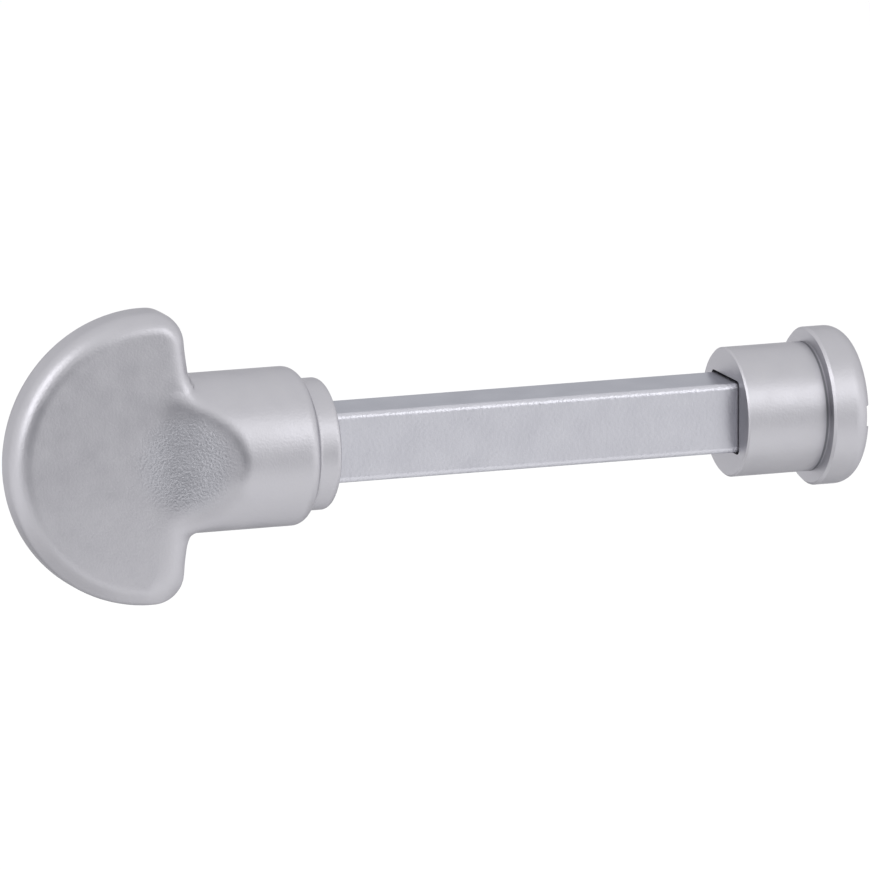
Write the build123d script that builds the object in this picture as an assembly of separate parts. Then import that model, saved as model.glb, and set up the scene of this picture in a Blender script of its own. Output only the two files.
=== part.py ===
from build123d import *
from math import radians, sqrt, tan
import os

# Bathroom turn and release set: a half-moon thumb turn and a coin-slot release head on one square spindle.
# Millimetres. +X runs along the spindle, from the turn to the release head. +Z is up, and the turn's blade
# stands in the XZ plane. The origin is the centre of the hub's shoulder, which meets the inside rose.

# Driving dimensions: square spindle
SPINDLE_SIDE = 8.0
SPINDLE_LENGTH = 68.0
SPINDLE_EDGE_RADIUS = 0.7
SPINDLE_END_CHAMFER = 0.6

# Driving dimensions: thumb turn, hub end
COLLAR_WALL = 2.03              # wall of the collar at the socket's corners
COLLAR_LENGTH = 2.8
COLLAR_CHAMFER = 0.3
SHOULDER_WIDTH = 1.53           # step from the collar out to the hub
SHOULDER_RADIUS = 1.4
HUB_LENGTH = 13.7               # from the shoulder to the blade's straight edge
TURN_SOCKET_DEPTH = 11.8        # from the collar's end
RAMP_ANGLE = 32.0               # degrees; the ramp that carries the blade's face up to the hub
RAMP_SETBACK = 9.2              # from the shoulder to where the ramp would leave the hub
RAMP_FOOT_RADIUS = 6.0          # between the blade's face and the ramp
RAMP_EDGE_RADIUS = 2.4          # between the ramp and the hub

# Driving dimensions: thumb turn, blade
BLADE_DIAMETER = 33.5
BLADE_REACH = 21.05             # from the straight edge to the far rim
BLADE_THICKNESS = 6.0
BLADE_RIM_RADIUS = 2.2
BLADE_CORNER_RADIUS = 3.75
NECK_FILLET = 1.2               # between the straight edge and the hub

# Driving dimensions: grub screw under the hub
SCREW_DIAMETER = 4.0
SCREW_LENGTH = 4.0
SCREW_SETBACK = 4.2             # from the shoulder to the screw's axis
SCREW_HEX = 2.0
SCREW_HEX_DEPTH = 2.0
SCREW_POINT_CHAMFER = 0.6

# Driving dimensions: release head
SLEEVE_WALL = 1.65              # wall of the sleeve at the socket's corners
SLEEVE_LENGTH = 9.8
SLEEVE_EDGE_CHAMFER = 0.2
FLANGE_LIP = 1.62               # step from the sleeve out to the flange
FLANGE_THICKNESS = 4.75
FLANGE_RIM_RADIUS = 2.1
FLANGE_BACK_CHAMFER = 0.3
HEAD_FLOOR = 1.75               # between the socket's end and the bottom of the coin slot
SLOT_WIDTH = 2.5
SLOT_DEPTH = 2.3
SLOT_RADIUS = 22.0              # curved floor of the coin slot
SLOT_EDGE_RADIUS = 0.25
PUSH_TRAVEL = 3.25              # how far the head can still be pushed on

# Clearances
FIXED_CLEARANCE = 0.05          # spindle in the turn, screw in its hole, each side
SLIDE_CLEARANCE = 0.25          # spindle in the release head, each side
FACE_SINK = 0.03                # the hub's flat lies this far inside the blade's face
NECK_SINK = 0.06                # the blade's neck lies this far inside the hub
CUT_MARGIN = 1.0                # how far a cut runs past the wall it opens
RIM_SHARE = 0.45                # the rim's rounding is at most this share of the blade's thickness
CHAMFER_SHARE = 0.9             # the spindle's end chamfer is at most this share of its edge radius
CORNER_SHARE = 0.7              # the blade's corner is at most this share of the straight edge beside the hub
NEAR = 1e-4                     # how near a point has to be to count as on a plane

# Derived sizes
turn_socket = SPINDLE_SIDE + 2 * FIXED_CLEARANCE
head_socket = SPINDLE_SIDE + 2 * SLIDE_CLEARANCE


def corner_reach(side):
    """Distance from the axis to the rounded corner of a square socket."""
    return side / sqrt(2) - SPINDLE_EDGE_RADIUS * (sqrt(2) - 1)


collar_radius = corner_reach(turn_socket) + COLLAR_WALL
hub_radius = collar_radius + SHOULDER_WIDTH
sleeve_radius = corner_reach(head_socket) + SLEEVE_WALL
flange_radius = sleeve_radius + FLANGE_LIP

socket_end = COLLAR_LENGTH - TURN_SOCKET_DEPTH
spindle_start = socket_end + FIXED_CLEARANCE
spindle_end = spindle_start + SPINDLE_LENGTH
head_length = SLEEVE_LENGTH + FLANGE_THICKNESS
head_socket_depth = head_length - SLOT_DEPTH - HEAD_FLOOR
head_grip = head_socket_depth - PUSH_TRAVEL
head_start = spindle_end - head_grip

straight_edge = -HUB_LENGTH
blade_radius = BLADE_DIAMETER / 2
blade_half = BLADE_THICKNESS / 2
rim_radius = min(BLADE_RIM_RADIUS, RIM_SHARE * BLADE_THICKNESS)


def along_x(radius, start, end):
    """Round bar on the spindle's axis between two stations."""
    return Pos((start + end) / 2, 0, 0) * Cylinder(radius, end - start, rotation=(0, 90, 0))


def square_bar(side, start, end):
    """Square bar on the spindle's axis with its long edges rounded."""
    bar = Pos((start + end) / 2, 0, 0) * Box(end - start, side, side)
    return fillet(bar.edges().filter_by(Axis.X), SPINDLE_EDGE_RADIUS)


def end_edges(solid, station):
    """Edges that lie in the plane across the axis at a station."""
    return solid.edges().filter_by_position(Axis.X, station - NEAR, station + NEAR)


def make_spindle():
    bar = square_bar(SPINDLE_SIDE, spindle_start, spindle_end)
    ends = end_edges(bar, spindle_start) + end_edges(bar, spindle_end)
    return chamfer(ends, min(SPINDLE_END_CHAMFER, CHAMFER_SHARE * SPINDLE_EDGE_RADIUS))


def half_moon():
    """Round plate cut off along the straight edge, with its two tips rounded."""
    centre = straight_edge - BLADE_REACH + blade_radius
    free_edge = sqrt(blade_radius**2 - (straight_edge - centre) ** 2) - hub_radius
    corner = min(BLADE_CORNER_RADIUS, CORNER_SHARE * free_edge)
    plate = Pos(centre, 0, 0) * Cylinder(blade_radius, BLADE_THICKNESS, rotation=(90, 0, 0))
    plate -= Pos(straight_edge + blade_radius, 0, 0) * Box(BLADE_DIAMETER, BLADE_DIAMETER, BLADE_DIAMETER)
    return fillet(end_edges(plate, straight_edge).filter_by(Axis.Y), corner)


def make_blade():
    """Half-moon with a short neck that runs into the hub, and with its rim rounded on both faces."""
    neck_half = hub_radius - NECK_SINK
    neck_length = NECK_FILLET + CUT_MARGIN
    plate = half_moon()
    plate += Pos(straight_edge, 0, 0) * Box(2 * neck_length, BLADE_THICKNESS, 2 * neck_half)
    inner = end_edges(plate, straight_edge).filter_by(Axis.Y)
    plate = fillet([edge for edge in inner if abs(abs(edge.center().Z) - neck_half) < NEAR], NECK_FILLET)
    rim = [edge for edge in plate.edges() if abs(abs(edge.center().Y) - blade_half) < NEAR]
    return fillet([edge for edge in rim if edge.center().X < straight_edge + neck_length - NEAR], rim_radius)


def ramp_cut():
    """What the ramp takes from one side of the hub, and the station where it leaves the blade's face."""
    angle = radians(RAMP_ANGLE)
    foot = blade_half - FACE_SINK
    top = hub_radius + CUT_MARGIN
    corner = -RAMP_SETBACK - (hub_radius - foot) / tan(angle)
    tangent = RAMP_FOOT_RADIUS * tan(angle / 2)
    foot_start = corner - tangent
    back = foot_start - 2 * CUT_MARGIN
    outline = Polyline(
        (foot_start, foot),
        (corner, foot),
        (corner + (top - foot) / tan(angle), top),
        (back, top),
        (back, foot),
        close=True,
    )
    section = make_face(outline)
    bend = section.vertices().sort_by_distance((corner, foot, 0))[0]
    section = fillet(bend, RAMP_FOOT_RADIUS)
    return extrude(section, hub_radius + CUT_MARGIN, both=True), foot_start


def make_hub():
    """Round hub whose end runs down on both sides, by a ramp, to the blade's thickness."""
    cut, foot_start = ramp_cut()
    start = foot_start - CUT_MARGIN
    bar = along_x(hub_radius, start, 0)
    bar = fillet(end_edges(bar, 0), SHOULDER_RADIUS)
    side = bar - cut
    flat = blade_half - FACE_SINK - NEAR
    crease = [
        edge
        for edge in side.edges().filter_by(Axis.Z, reverse=True)
        if edge.center().Y > flat and start < edge.center().X < -SHOULDER_RADIUS
    ]
    side = fillet(crease, RAMP_EDGE_RADIUS)
    half = side & Pos(0, hub_radius, 0) * Box(4 * HUB_LENGTH, 2 * hub_radius, 4 * hub_radius)
    return half + mirror(half, about=Plane.XZ)


def screw_bar(radius, top, bottom):
    """Round bar on the grub screw's axis, which points down from the spindle."""
    return Pos(-SCREW_SETBACK, 0, (top + bottom) / 2) * Cylinder(radius, top - bottom)


def make_thumb_turn():
    """Casting: blade, hub and collar, with the spindle's socket and the grub screw's hole."""
    collar = along_x(collar_radius, -COLLAR_LENGTH, COLLAR_LENGTH)
    collar = chamfer(end_edges(collar, COLLAR_LENGTH), COLLAR_CHAMFER)
    turn = make_blade() + make_hub() + collar
    turn -= square_bar(turn_socket, socket_end, COLLAR_LENGTH + CUT_MARGIN)
    turn -= screw_bar(SCREW_DIAMETER / 2 + FIXED_CLEARANCE, 0, -hub_radius - CUT_MARGIN)
    return turn


def make_grub_screw():
    """Hexagon socket screw with its point against the spindle."""
    point = -SPINDLE_SIDE / 2
    head = point - SCREW_LENGTH
    screw = screw_bar(SCREW_DIAMETER / 2, point, head)
    screw = chamfer(screw.edges().group_by(Axis.Z)[-1], SCREW_POINT_CHAMFER)
    key = RegularPolygon(SCREW_HEX / 2, 6, major_radius=False)
    return screw - extrude(Pos(-SCREW_SETBACK, 0, head) * key, SCREW_HEX_DEPTH)


def slot_lips(head_end):
    """What rounds the two long edges of the coin slot, where they meet the flat outer face."""
    reach = SLOT_WIDTH / 2 + SLOT_EDGE_RADIUS
    depth = SLOT_EDGE_RADIUS + CUT_MARGIN
    lips = Pos(head_end - SLOT_EDGE_RADIUS + depth / 2, 0, 0) * Box(depth, 2 * flange_radius, 2 * reach)
    for side in (-reach, reach):
        bead = Cylinder(SLOT_EDGE_RADIUS, 2 * flange_radius, rotation=(90, 0, 0))
        lips -= Pos(head_end - SLOT_EDGE_RADIUS, 0, side) * bead
    return lips


def make_release_head():
    """Casting: sleeve and flange, with the square socket and the coin slot across the outer face."""
    flange_back = head_start + SLEEVE_LENGTH
    head_end = head_start + head_length
    profile = Polyline(
        (head_start, 0),
        (head_start, sleeve_radius),
        (flange_back, sleeve_radius),
        (flange_back, flange_radius),
        (head_end, flange_radius),
        (head_end, 0),
        close=True,
    )
    head = revolve(make_face(profile), Axis.X)
    head = chamfer(end_edges(head, head_start), SLEEVE_EDGE_CHAMFER)
    head = fillet(end_edges(head, head_end), FLANGE_RIM_RADIUS)
    head = chamfer(end_edges(head, flange_back).sort_by(SortBy.LENGTH)[-1], FLANGE_BACK_CHAMFER)
    head -= square_bar(head_socket, head_start - CUT_MARGIN, head_start + head_socket_depth)
    head -= Pos(head_end + SLOT_RADIUS - SLOT_DEPTH, 0, 0) * Cylinder(SLOT_RADIUS, SLOT_WIDTH)
    return head - slot_lips(head_end)


PARTS = {
    "thumb_turn": make_thumb_turn,
    "spindle": make_spindle,
    "grub_screw": make_grub_screw,
    "release_head": make_release_head,
}

os.makedirs("parts", exist_ok=True)
for name, make in PARTS.items():
    export_step(make(), f"parts/{name}.step")
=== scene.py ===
# %% [markdown]
# A bathroom turn and release set: a half-moon thumb turn, a square spindle through the door, and a round
# release head with a coin slot. The solids arrive at their real size, in metres, and they never move
# here. This lesson gives them a camera and a soft white studio, wears a copy of the turn softer, as a
# casting is, and gives every piece its finish.

# %% Load the solids
import math

import bpy
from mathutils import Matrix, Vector


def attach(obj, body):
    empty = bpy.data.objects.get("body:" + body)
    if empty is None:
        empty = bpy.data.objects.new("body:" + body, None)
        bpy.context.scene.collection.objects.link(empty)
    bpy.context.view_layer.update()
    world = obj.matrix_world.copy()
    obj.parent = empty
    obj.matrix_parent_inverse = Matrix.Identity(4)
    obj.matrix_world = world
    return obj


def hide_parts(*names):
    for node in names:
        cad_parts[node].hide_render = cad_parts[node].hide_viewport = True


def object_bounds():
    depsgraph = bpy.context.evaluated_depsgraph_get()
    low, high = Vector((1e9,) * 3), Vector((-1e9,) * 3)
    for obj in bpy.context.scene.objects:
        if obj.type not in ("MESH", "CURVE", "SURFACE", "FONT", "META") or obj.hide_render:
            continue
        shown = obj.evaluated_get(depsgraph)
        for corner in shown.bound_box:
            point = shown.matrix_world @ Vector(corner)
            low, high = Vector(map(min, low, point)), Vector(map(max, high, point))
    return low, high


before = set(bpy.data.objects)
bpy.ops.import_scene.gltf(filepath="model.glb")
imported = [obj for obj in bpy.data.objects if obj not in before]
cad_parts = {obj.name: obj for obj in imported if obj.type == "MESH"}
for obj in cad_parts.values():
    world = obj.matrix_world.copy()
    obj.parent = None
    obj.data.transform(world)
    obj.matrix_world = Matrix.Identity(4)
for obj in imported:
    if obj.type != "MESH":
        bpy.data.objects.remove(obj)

solid_low, solid_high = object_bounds()
print("solids:", sorted(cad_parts))
print("size in mm:", [round(1000 * side, 2) for side in solid_high - solid_low])

# %% [markdown]
# Two helpers serve every material below. Colours are picked as sRGB hex values, as on a screen, but
# shaders add up light, so each hex value is turned to linear light once, by the curve of the sRGB
# standard. The second helper adds one shader node, sets its options and fills its sockets, either with a
# plain value or with a link from another node. Writing each node out by hand would work as well, but it
# would hide what differs.

# %% Helpers for colours and shader nodes
def linear(hex_colour):
    """Linear red, green, blue and alpha of an sRGB hex colour."""
    channels = [int(hex_colour[i:i + 2], 16) / 255 for i in (1, 3, 5)]
    bent = [c / 12.92 if c <= 0.04045 else ((c + 0.055) / 1.055) ** 2.4 for c in channels]
    return (*bent, 1.0)


def add(tree, kind, options=None, sockets=None):
    """Adds a node; a socket gets a value, or a link where it is given another node's output."""
    node = tree.nodes.new("ShaderNode" + kind)
    for name, value in (options or {}).items():
        setattr(node, name, value)
    for name, value in (sockets or {}).items():
        if isinstance(value, bpy.types.NodeSocket):
            tree.links.new(value, node.inputs[name])
        else:
            node.inputs[name].default_value = value
    return node


print("mid grey #808080 is", round(linear("#808080")[0], 3), "in linear light")

# %% [markdown]
# The camera stands far off with a long lens, a little to the blade's side and a little above, so lines
# along the spindle hardly converge. A long lens could be faked with an orthographic camera, but the
# slight perspective of the real one is easy to keep: the lens follows from the width that the picture
# covers.

# %% Camera
MM = 0.001
VIEW_AZIMUTH = -20.6                # degrees, from straight in front towards the blade's side
VIEW_ELEVATION = 11.63              # degrees
VIEW_DISTANCE = 2.5                 # metres
PICTURE_WIDTH = 97.75 * MM          # covered at the middle of the collar's face
COLLAR_FACE = Vector((2.5 * MM, 0, 0))
AIM_RIGHT = 13.22 * MM              # from there to the picture's middle
AIM_UP = 0.92 * MM


def towards(azimuth, elevation):
    """Direction from the object to a place in the studio; the angles are in degrees."""
    turn, rise = math.radians(azimuth), math.radians(elevation)
    return Vector((math.sin(turn) * math.cos(rise), -math.cos(turn) * math.cos(rise), math.sin(rise)))


back = towards(VIEW_AZIMUTH, VIEW_ELEVATION)
right = Vector((0, 0, 1)).cross(back).normalized()
up = back.cross(right)
camera_place = COLLAR_FACE + VIEW_DISTANCE * back
aim = COLLAR_FACE + AIM_RIGHT * right + AIM_UP * up

lens = bpy.data.cameras.new("long_lens")
lens.lens = lens.sensor_width * VIEW_DISTANCE / PICTURE_WIDTH
camera = bpy.data.objects.new("camera", lens)
camera.location = camera_place
camera.rotation_euler = (aim - camera_place).to_track_quat("-Z", "Y").to_euler()
bpy.context.scene.collection.objects.link(camera)
bpy.context.scene.camera = camera
bpy.context.scene.view_settings.view_transform = "Standard"
print("lens:", round(lens.lens), "mm at", VIEW_DISTANCE, "m")

# %% [markdown]
# Satin metal shows little but its surroundings, so the studio is most of the look. A white tent gives
# even light from all round. The side where the camera stands is darker, as in a real studio, and a face
# that looks back at the camera turns grey. A picture of a studio could light the scene too, but a few
# nodes do it without a file: the dark side is a soft round patch of the world, placed by a Mapping node
# and faded by a Gradient node. The same three nodes make soft patches on the floor and on the castings
# later, so a function adds them. The camera itself sees plain white behind the object.

# %% World
TENT = "#FFFFFF"
CAMERA_SIDE = "#8E8F93"
CAMERA_SIDE_AZIMUTH = -28                   # degrees, as the two below
CAMERA_SIDE_ELEVATION = 0
CAMERA_SIDE_TILT = 18                       # its right end hangs lower
CAMERA_SIDE_REACH = (1.10, 1.10, 0.70)      # sideways, along the view and upwards, on a sphere of radius 1
CAMERA_SIDE_FULL = 0.75                     # share of the way from its rim to its middle where it is darkest


def soft_patch(tree, place, centre, reach, full, turned=(0, 0, 0), strength=1.0):
    """An ellipsoid that is strongest round its centre and fades to nothing at its reach."""
    placed = add(tree, "Mapping", {"vector_type": "TEXTURE"}, {
        "Vector": place,
        "Location": centre,
        "Rotation": turned,
        "Scale": reach,
    })
    fade = add(tree, "TexGradient", {"gradient_type": "SPHERICAL"}, {"Vector": placed.outputs["Vector"]})
    soft = add(tree, "MapRange", {"interpolation_type": "SMOOTHSTEP"}, {
        "Value": fade.outputs["Fac"],
        "From Max": full,
        "To Max": strength,
    })
    return soft.outputs["Result"]


world = bpy.data.worlds.new("white_tent")
bpy.context.scene.world = world
world.use_nodes = True
tree = world.node_tree
tree.nodes.clear()
camera_side = soft_patch(
    tree,
    add(tree, "TexCoord").outputs["Generated"],
    centre=towards(CAMERA_SIDE_AZIMUTH, CAMERA_SIDE_ELEVATION),
    reach=CAMERA_SIDE_REACH,
    full=CAMERA_SIDE_FULL,
    turned=(0, math.radians(CAMERA_SIDE_TILT), math.radians(CAMERA_SIDE_AZIMUTH)),
)
around = add(tree, "Mix", {"data_type": "RGBA"}, {
    "Factor": camera_side,
    "A": linear(TENT),
    "B": linear(CAMERA_SIDE),
})
tent = add(tree, "Background", None, {"Color": around.outputs["Result"]})
plain = add(tree, "Background", None, {"Color": linear(TENT)})
ray = add(tree, "LightPath")
shown = add(tree, "MixShader", None, {
    0: ray.outputs["Is Camera Ray"],
    1: tent.outputs["Background"],
    2: plain.outputs["Background"],
})
add(tree, "OutputWorld", None, {"Surface": shown.outputs["Shader"]})
print("world:", world.name, "with", len(tree.nodes), "nodes")

# %% [markdown]
# Soft boxes shape the forms. The one high on the right draws the bright band along the hub and the
# sleeve, the tall one on the left lights the blade's far rim, and a wide weak one fills the right side.
# Each is an area lamp that faces the object. Its power follows from the brightness that its face should
# have in a reflection, so its size can change freely. The camera doesn't see the boxes, because from
# other sides they would stand in the way.

# %% Soft boxes
BOX_DISTANCE = 1.0


def soft_box(name, azimuth, elevation, width, height, brightness):
    """A lamp that faces the object; a white wall has brightness 1."""
    lamp = bpy.data.lights.new(name, "AREA")
    lamp.shape = "RECTANGLE"
    lamp.size = width
    lamp.size_y = height
    lamp.energy = brightness * math.pi * width * height
    box = bpy.data.objects.new(name, lamp)
    direction = towards(azimuth, elevation)
    box.location = BOX_DISTANCE * direction
    box.rotation_euler = (-direction).to_track_quat("-Z", "Y").to_euler()
    box.visible_camera = False
    bpy.context.scene.collection.objects.link(box)
    print(name, "energy", round(lamp.energy, 3), "W")


soft_box("right_soft_box", azimuth=30, elevation=30, width=0.55, height=0.55, brightness=1.05)
soft_box("left_soft_box", azimuth=-72, elevation=29, width=0.34, height=0.95, brightness=2.4)
soft_box("right_fill", azimuth=62, elevation=0, width=1.0, height=0.9, brightness=0.25)

# %% [markdown]
# The floor is a plain white sheet well below the object, which a rose on a door would hold in the air. A
# curved backdrop could close the picture too, but this sheet runs so far back that it fills it. It stops
# short in front, so the dark camera side still shows in the metal.

# %% Floor
FLOOR_DROP = 0.12                   # metres below the blade's lowest point
FLOOR_SIDE = 4.0
FLOOR_FRONT = 0.35                  # how far it comes forward of the spindle's axis

bpy.ops.object.select_all(action="DESELECT")
bpy.ops.mesh.primitive_plane_add(
    size=FLOOR_SIDE,
    location=(0, FLOOR_SIDE / 2 - FLOOR_FRONT, solid_low.z - FLOOR_DROP),
)
floor = bpy.context.object
floor.name = "floor"
print("floor at", round(floor.location.z / MM, 1), "mm")

# %% [markdown]
# The sheet is matt white paper. If it were one even white, the undersides of the metal would glow in it.
# A photographer lays grey cards where the metal mirrors the sheet, and here the paper has three soft grey
# zones for them: behind the object, to its left below the blade, and to its right below the release head.
# The Light Path node hides the zones from the camera, which sees plain white.

# %% Matt white paper
PAPER = "#FFFFFF"
PAPER_GREY = "#C2C2C2"
GREY_ZONES = {                      # centre and reach on the floor in metres, and the share of the grey
    "behind": ((0.01, 0.20), (0.30, 0.15), 1.0),
    "left": ((-0.10, -0.03), (0.15, 0.20), 0.75),
    "right": ((0.115, 0.03), (0.09, 0.14), 0.6),
}
ZONE_FULL = 0.7                     # share of the way from a zone's rim to its middle where it is greyest

sheet = bpy.data.materials.new("matt_white_paper")
sheet.use_nodes = True
tree = sheet.node_tree
place = add(tree, "TexCoord").outputs["Object"]
grey = 0.0
for (x, y), reach, share in GREY_ZONES.values():
    centre = Vector((x, y, floor.location.z)) - floor.location
    zone = soft_patch(tree, place, centre, (*reach, 1.0), ZONE_FULL, strength=share)
    grey = add(tree, "Math", {"operation": "MAXIMUM"}, {0: grey, 1: zone}).outputs["Value"]
ray = add(tree, "LightPath")
mirrored = add(tree, "Math", {"operation": "SUBTRACT", "use_clamp": True}, {
    0: grey,
    1: ray.outputs["Is Camera Ray"],
})
white = add(tree, "Mix", {"data_type": "RGBA"}, {
    "Factor": mirrored.outputs["Value"],
    "A": linear(PAPER),
    "B": linear(PAPER_GREY),
})
paper = tree.nodes["Principled BSDF"]
paper.inputs["Roughness"].default_value = 1.0
paper.inputs["Specular IOR Level"].default_value = 0.0
tree.links.new(white.outputs["Result"], paper.inputs["Base Color"])
floor.data.materials.append(sheet)
print("paper:", sheet.name, "with grey zones", sorted(GREY_ZONES))

# %% [markdown]
# The turn is one casting. In its solid the blade's faces are flat, and the flanks of the hub's ramps meet
# them in sharp lines, while on the real one these forms run softly into each other. A bevel would need
# clean edge loops, which a triangle mesh of a solid doesn't have. So a copy of the solid is merged and
# rebuilt as an even skin of small squares, and the next cells move its points, each by less than 2 mm.

# %% A worn copy of the turn: an even skin
SKIN_STEP = 0.22 * MM
MERGE_STEP = 0.001 * MM

solid_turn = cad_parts["thumb_turn"]
worn_turn = bpy.data.objects.new("worn_turn", solid_turn.data.copy())
bpy.context.scene.collection.objects.link(worn_turn)
bpy.ops.object.select_all(action="DESELECT")
bpy.context.view_layer.objects.active = worn_turn
worn_turn.select_set(True)
bpy.ops.object.mode_set(mode="EDIT")
bpy.ops.mesh.select_all(action="SELECT")
bpy.ops.mesh.remove_doubles(threshold=MERGE_STEP)
bpy.ops.object.mode_set(mode="OBJECT")
skin = worn_turn.modifiers.new("even_skin", "REMESH")
skin.mode = "VOXEL"
skin.voxel_size = SKIN_STEP
bpy.ops.object.modifier_apply(modifier=skin.name)
print("even skin:", len(worn_turn.data.vertices), "points")

# %% [markdown]
# A cast blade gets thicker towards the hub, so that it leaves its mould, and here it also falls off a
# little towards its upper and lower ends. Sculpting could do that, but a formula is exact and the same
# every time. Where a point lies lower than the leaning face, it comes out to it, and a rounded maximum of
# the two heights makes the soft corner in which a ramp runs out onto the face. Points between the faces
# are stretched in the same share, so the rim stays round. The round top and bottom of the hub stay as
# they are.

# %% A worn copy of the turn: leaning faces
FLAT_HALF = 3.0 * MM                # half the thickness of the solid's blade
LEAN = math.tan(math.radians(5.4))  # of each face, out from the far rim towards the hub
BLADE_END = 16.75 * MM              # height of the blade's upper and lower ends
LEAN_LOSS = 0.35                    # of the lean, lost there
CROWN_SHARE = 0.07                  # of the thickness, lost there
CORNER_WIDTH = 1.5 * MM
HUB_START = -14.5 * MM              # from here the blade's changes fade
HUB_FULL = -10.0 * MM               # here they are gone
HUB_TOP_ALONG = (-14.2 * MM, -13.2 * MM)    # where the hub's round top and bottom set in, along the axis
HUB_TOP_UP = (6.0 * MM, 8.2 * MM)           # and away from it, up or down


def smooth(value, start, end):
    """0 at the start, 1 at the end, with a soft slope between."""
    share = max(0.0, min(1.0, (value - start) / (end - start)))
    return share * share * (3 - 2 * share)


def rounded_max(a, b, width):
    """The larger of two heights, with a rounded corner where they come nearer than the width."""
    if abs(a - b) >= width:
        return max(a, b)
    return max(a, b) + (width - abs(a - b)) ** 2 / (4 * width)


furthest = 0.0
for vertex in worn_turn.data.vertices:
    x, y, z = vertex.co
    on_top = smooth(x, *HUB_TOP_ALONG) * smooth(abs(z), *HUB_TOP_UP)
    on_blade = smooth(x, HUB_FULL, HUB_START) * (1 - on_top)
    fall = (z / BLADE_END) ** 2
    lift = on_blade * LEAN * (1 - LEAN_LOSS * fall) * (x - solid_low.x)
    raised = rounded_max(max(abs(y), FLAT_HALF), FLAT_HALF + lift, min(CORNER_WIDTH, lift))
    thicker = raised / max(abs(y), FLAT_HALF)
    vertex.co.y = y * thicker * (1 - on_blade * CROWN_SHARE * fall)
    furthest = max(furthest, abs(vertex.co.y - y))
print("leaning faces: points moved by up to", round(furthest / MM, 2), "mm")

# %% [markdown]
# The straight edge of the blade, on the hub's side, isn't quite straight: the two tips stand back from it
# by under half a millimetre. A lattice could pull them back too, but a formula with soft slopes says
# plainly where the pull starts and stops. The neck and the far rim stay where they are.

# %% A worn copy of the turn: tips
TIP_PULL = 0.45 * MM
TIP_UP = (8.5 * MM, 13.5 * MM)      # height over which the pull sets in, up or down
TIP_RISE = (-22.0 * MM, -14.0 * MM) # along the axis, where it sets in
TIP_FADE = (-13.0 * MM, -8.0 * MM)  # and where it ends

furthest = 0.0
for vertex in worn_turn.data.vertices:
    x, y, z = vertex.co
    near_edge = smooth(x, *TIP_RISE) * (1 - smooth(x, *TIP_FADE))
    pull = TIP_PULL * near_edge * smooth(abs(z), *TIP_UP)
    vertex.co.x = x - pull
    furthest = max(furthest, pull)
print("tips: points pulled back by up to", round(furthest / MM, 2), "mm")

# %% [markdown]
# Each ramp is cut into the round hub, and its flanks, above and below, are worn round on the casting, the
# lower ones more. The Smooth modifier rounds whatever it is given. A vertex group holds it to the flanks,
# with weights that fade out at the limits, so no edge shows where the wear stops.

# %% A worn copy of the turn: flanks
FLANK_ALONG = (-19.0 * MM, -17.5 * MM, -9.5 * MM, -8.0 * MM)    # along the axis: opens, full, closes, gone
FLANK_OUT = (4.0 * MM, 4.8 * MM, 7.8 * MM, 8.8 * MM)            # out from the middle of the blade
FLANK_ROUNDS = 50
LOWER_OUT = (2.6 * MM, 3.6 * MM, 7.8 * MM, 8.8 * MM)
LOWER_DOWN = (1.0 * MM, 4.5 * MM)   # depth below the axis over which the stronger wear sets in
LOWER_ROUNDS = 300
WEAR_FACTOR = 0.5


def window(value, limits):
    """0 outside the limits, 1 inside, with straight slopes between."""
    opens, full, closes, gone = limits
    rise = (value - opens) / (full - opens)
    fall = (gone - value) / (gone - closes)
    return max(0.0, min(1.0, rise, fall))


def wear(name, out, rounds, down=None):
    """Smooths the flanks that lie this far out; where a depth is given, only those below the axis."""
    group = worn_turn.vertex_groups.new(name=name)
    for vertex in worn_turn.data.vertices:
        x, y, z = vertex.co
        weight = window(x, FLANK_ALONG) * window(abs(y), out)
        if down:
            weight *= smooth(-z, *down)
        if weight > 0:
            group.add([vertex.index], weight, "REPLACE")
    softer = worn_turn.modifiers.new(name, "SMOOTH")
    softer.factor = WEAR_FACTOR
    softer.iterations = rounds
    softer.vertex_group = group.name
    bpy.ops.object.modifier_apply(modifier=softer.name)
    print(name, "smoothed", rounds, "times")


wear("ramp_flanks", FLANK_OUT, FLANK_ROUNDS)
wear("lower_flanks", LOWER_OUT, LOWER_ROUNDS, LOWER_DOWN)

# %% [markdown]
# The worn copy now takes its solid's place: it moves with the body of the turn, stands for the solid in
# every picture and takes the same material slot. Smooth shading hides the small squares of the skin.

# %% A worn copy of the turn: in its place
bpy.ops.object.shade_smooth()
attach(worn_turn, "turn")
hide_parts("thumb_turn")
print("worn turn:", sum(len(face.vertices) - 2 for face in worn_turn.data.polygons), "triangles")

# %% [markdown]
# The turn and the release head are die-cast aluminium, blasted and anodised in natural silver. Blasting
# leaves a fine even grain that spreads each reflection wide, so the metal looks satin. A flat roughness
# would look like plastic: here the grain is a bump about a quarter of a millimetre wide, and a slower
# mottle shifts the tone and the gloss a little, as on a real casting. In a corner the grain may bite
# harder, and the tone is darker there, which is painted shade. They could be painted by hand, but a soft
# patch marks them as well, and taking the absolute of the place first mirrors it to the other sides. The
# oxide layer keeps the metal from flaring at glancing angles, and a grey specular tint says so.

# %% Blasted and anodised aluminium
GRAIN = 0.28 * MM                   # real pits are finer, and would not show in the render
GRAIN_DEPTH = 0.12 * MM
GRAIN_BITE = 0.16                   # strength of the bump outside the corners
MOTTLE = 2.4 * MM
MOTTLE_SPAN = (0.3, 0.7)            # most of the noise lies between these
CASTING_TONES = ("#B8B7BD", "#C2C1C6")
CASTING_ROUGHNESS = (0.37, 0.45)
CASTING_GLANCE = "#CACACC"          # tint at glancing angles
CORNER_FULL = 0.45                  # share of the way from a corner's rim to its middle where it is full


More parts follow.
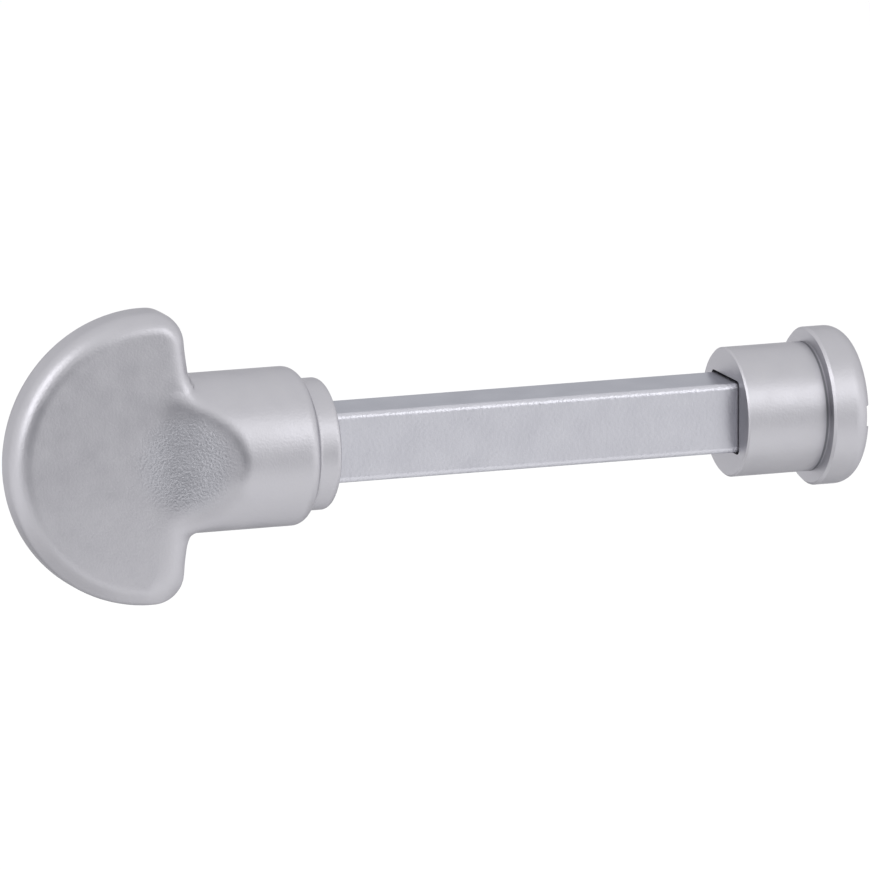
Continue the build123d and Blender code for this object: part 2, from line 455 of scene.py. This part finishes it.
def metal(name):
    """A new metal, its node tree, its shader and its Object coordinates."""
    material = bpy.data.materials.new(name)
    material.use_nodes = True
    tree = material.node_tree
    shader = tree.nodes["Principled BSDF"]
    shader.inputs["Metallic"].default_value = 1.0
    return material, tree, shader, add(tree, "TexCoord").outputs["Object"]


def blasted_aluminium(name, corner_at, corner_size, painted_shade_tone, corner_bite):
    """Metal with a wide soft reflection, a fine grain, a faint mottle, and a corner with its own grain and
    painted shade.
    """
    material, tree, shader, place = metal(name)
    grain = add(tree, "TexNoise", None, {"Vector": place, "Scale": 1 / GRAIN, "Detail": 2.0})
    mottle = add(tree, "TexNoise", None, {"Vector": place, "Scale": 1 / MOTTLE, "Detail": 3.0})
    folded = add(tree, "VectorMath", {"operation": "ABSOLUTE"}, {0: place})
    corner = soft_patch(tree, folded.outputs["Vector"], corner_at, corner_size, CORNER_FULL)
    tone = add(tree, "Mix", {"data_type": "RGBA"}, {
        "Factor": mottle.outputs["Fac"],
        "A": linear(CASTING_TONES[0]),
        "B": linear(CASTING_TONES[1]),
    })
    # Painted shade: where the corner patch lies, a darker tone is mixed into the metal's colour.
    darker = add(tree, "Mix", {"data_type": "RGBA"}, {
        "Factor": corner,
        "A": tone.outputs["Result"],
        "B": linear(painted_shade_tone),
    })
    spread = add(tree, "MapRange", None, {
        "Value": mottle.outputs["Fac"],
        "From Min": MOTTLE_SPAN[0],
        "From Max": MOTTLE_SPAN[1],
        "To Min": CASTING_ROUGHNESS[0],
        "To Max": CASTING_ROUGHNESS[1],
    })
    bite = add(tree, "MapRange", None, {"Value": corner, "To Min": GRAIN_BITE, "To Max": corner_bite})
    bump = add(tree, "Bump", None, {
        "Strength": bite.outputs["Result"],
        "Distance": GRAIN_DEPTH,
        "Height": grain.outputs["Fac"],
    })
    shader.inputs["Specular Tint"].default_value = linear(CASTING_GLANCE)
    tree.links.new(darker.outputs["Result"], shader.inputs["Base Color"])
    tree.links.new(spread.outputs["Result"], shader.inputs["Roughness"])
    tree.links.new(bump.outputs["Normal"], shader.inputs["Normal"])
    return material


print("grain:", round(GRAIN / MM, 2), "mm, mottle:", round(MOTTLE / MM, 1), "mm")

# %% [markdown]
# The two castings share that finish and differ in their corners. On the turn it is the hollow of each ramp,
# where the grain shows more and the tone is a touch darker, as painted shade. On the release head it is
# the line where the sleeve meets the flange, which is only darker: a line of painted shade. One material
# with both corners would serve as well, but then each piece would carry the other's nodes for nothing.

# %% Finish of the castings
turn_metal = blasted_aluminium(
    "blasted_anodised_aluminium_turn",
    corner_at=(14.0 * MM, 5.0 * MM, 0.5 * MM),
    corner_size=(8.0 * MM, 4.0 * MM, 6.2 * MM),
    # A touch of painted shade in the hollow of each ramp; the stronger grain there is the casting's own.
    painted_shade_tone="#B9B9BF",
    corner_bite=0.7,
)
head_metal = blasted_aluminium(
    "blasted_anodised_aluminium_head",
    corner_at=(61.33 * MM, 0, 0),
    corner_size=(0.17 * MM, 1.0, 1.0),
    # Painted shade: a dark line in the joint where the sleeve meets the flange.
    painted_shade_tone="#8A8B8F",
    corner_bite=GRAIN_BITE,
)
worn_turn.data.materials[0] = turn_metal
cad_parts["release_head"].data.materials[0] = head_metal
print("castings:", turn_metal.name, "and", head_metal.name)

# %% [markdown]
# The spindle is bar steel with a thin bright zinc plating. It is smoother than the castings and a little
# bluish, with soft cloudy patches, and the plating builds up unevenly along the edges, where it glitters.
# One even bump would make the faces glitter too. So its strength follows the smaller of a point's two
# distances from the axis, across and up, which is large only near a long edge.

# %% Zinc-plated steel
CLOUD = 3.5 * MM
ZINC_SKIN = 0.35 * MM
ZINC_DEPTH = 0.12 * MM
ZINC_TONES = ("#C4C4CC", "#CFCFD6")
ZINC_ROUGHNESS = (0.26, 0.38)
ZINC_GLANCE = "#B8BABE"
SPINDLE_HALF = 4.0 * MM
EDGE_SHARE = (0.75, 0.95)           # of that half width, between which the edge sets in
ZINC_BITE = (0.18, 0.8)             # strength of the bump on the faces and at the edges

zinc, tree, shader, place = metal("bright_zinc_plated_steel")
cloud = add(tree, "TexNoise", None, {"Vector": place, "Scale": 1 / CLOUD, "Detail": 4.0})
uneven = add(tree, "TexNoise", None, {"Vector": place, "Scale": 1 / ZINC_SKIN, "Detail": 3.0})
tone = add(tree, "Mix", {"data_type": "RGBA"}, {
    "Factor": cloud.outputs["Fac"],
    "A": linear(ZINC_TONES[0]),
    "B": linear(ZINC_TONES[1]),
})
spread = add(tree, "MapRange", None, {
    "Value": cloud.outputs["Fac"],
    "To Min": ZINC_ROUGHNESS[0],
    "To Max": ZINC_ROUGHNESS[1],
})
folded = add(tree, "VectorMath", {"operation": "ABSOLUTE"}, {0: place})
parts = add(tree, "SeparateXYZ", None, {"Vector": folded.outputs["Vector"]})
smaller = add(tree, "Math", {"operation": "MINIMUM"}, {0: parts.outputs["Y"], 1: parts.outputs["Z"]})
bite = add(tree, "MapRange", {"interpolation_type": "SMOOTHSTEP"}, {
    "Value": smaller.outputs["Value"],
    "From Min": EDGE_SHARE[0] * SPINDLE_HALF,
    "From Max": EDGE_SHARE[1] * SPINDLE_HALF,
    "To Min": ZINC_BITE[0],
    "To Max": ZINC_BITE[1],
})
bump = add(tree, "Bump", None, {
    "Strength": bite.outputs["Result"],
    "Distance": ZINC_DEPTH,
    "Height": uneven.outputs["Fac"],
})
shader.inputs["Specular Tint"].default_value = linear(ZINC_GLANCE)
tree.links.new(tone.outputs["Result"], shader.inputs["Base Color"])
tree.links.new(spread.outputs["Result"], shader.inputs["Roughness"])
tree.links.new(bump.outputs["Normal"], shader.inputs["Normal"])
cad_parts["spindle"].data.materials[0] = zinc
print("spindle:", zinc.name)

# %% [markdown]
# The grub screw sits under the hub, in its hole. It is hardened steel with a black oxide finish: a dark,
# dull metal with a trace of oil, a little uneven from one spot to the next. The colour of such a skin
# hardly changes, so a noise in the roughness alone gives that.

# %% Black oxide steel
OIL_PATCH = 0.6 * MM
OXIDE_TONE = "#3A3B3D"
OXIDE_ROUGHNESS = (0.35, 0.6)

oxide, tree, shader, place = metal("black_oxide_steel")
patchy = add(tree, "TexNoise", None, {"Vector": place, "Scale": 1 / OIL_PATCH, "Detail": 3.0})
spread = add(tree, "MapRange", None, {
    "Value": patchy.outputs["Fac"],
    "To Min": OXIDE_ROUGHNESS[0],
    "To Max": OXIDE_ROUGHNESS[1],
})
shader.inputs["Base Color"].default_value = linear(OXIDE_TONE)
tree.links.new(spread.outputs["Result"], shader.inputs["Roughness"])
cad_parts["grub_screw"].data.materials[0] = oxide
print("grub screw:", oxide.name)
